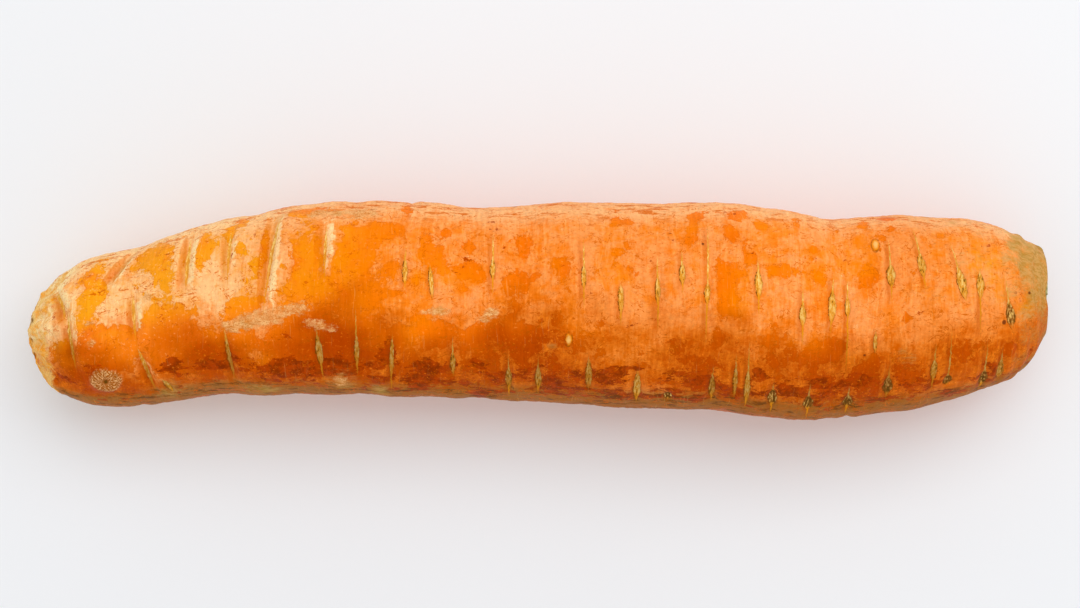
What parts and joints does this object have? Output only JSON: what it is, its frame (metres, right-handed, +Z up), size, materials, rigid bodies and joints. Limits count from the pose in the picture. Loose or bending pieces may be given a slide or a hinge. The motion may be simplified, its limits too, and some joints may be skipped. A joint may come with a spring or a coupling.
{
  "type": "carrot",
  "caption": "Whole fresh carrot lying on its side: a thick blunt-tipped root with creased, scarred skin and trimmed leaf stalks at the crown.",
  "frame": {"origin": "middle of the box round the root, at the height of the surface it lies on", "axes": "+X along the root from the blunt tip to the crown, +Z up, +Y sideways to the far edge in the picture"},
  "size_m": [0.3006, 0.0648, 0.0592],
  "materials": {
    "root_skin": "dull thin skin film with glossier deep orange bare patches",
    "stalk_skin": "dry matt cut stalk ends"
  },
  "bodies": {
    "root": {"carrot_root": "root_skin", "leaf_stalk_stubs": "stalk_skin"}
  },
  "joints": []
}
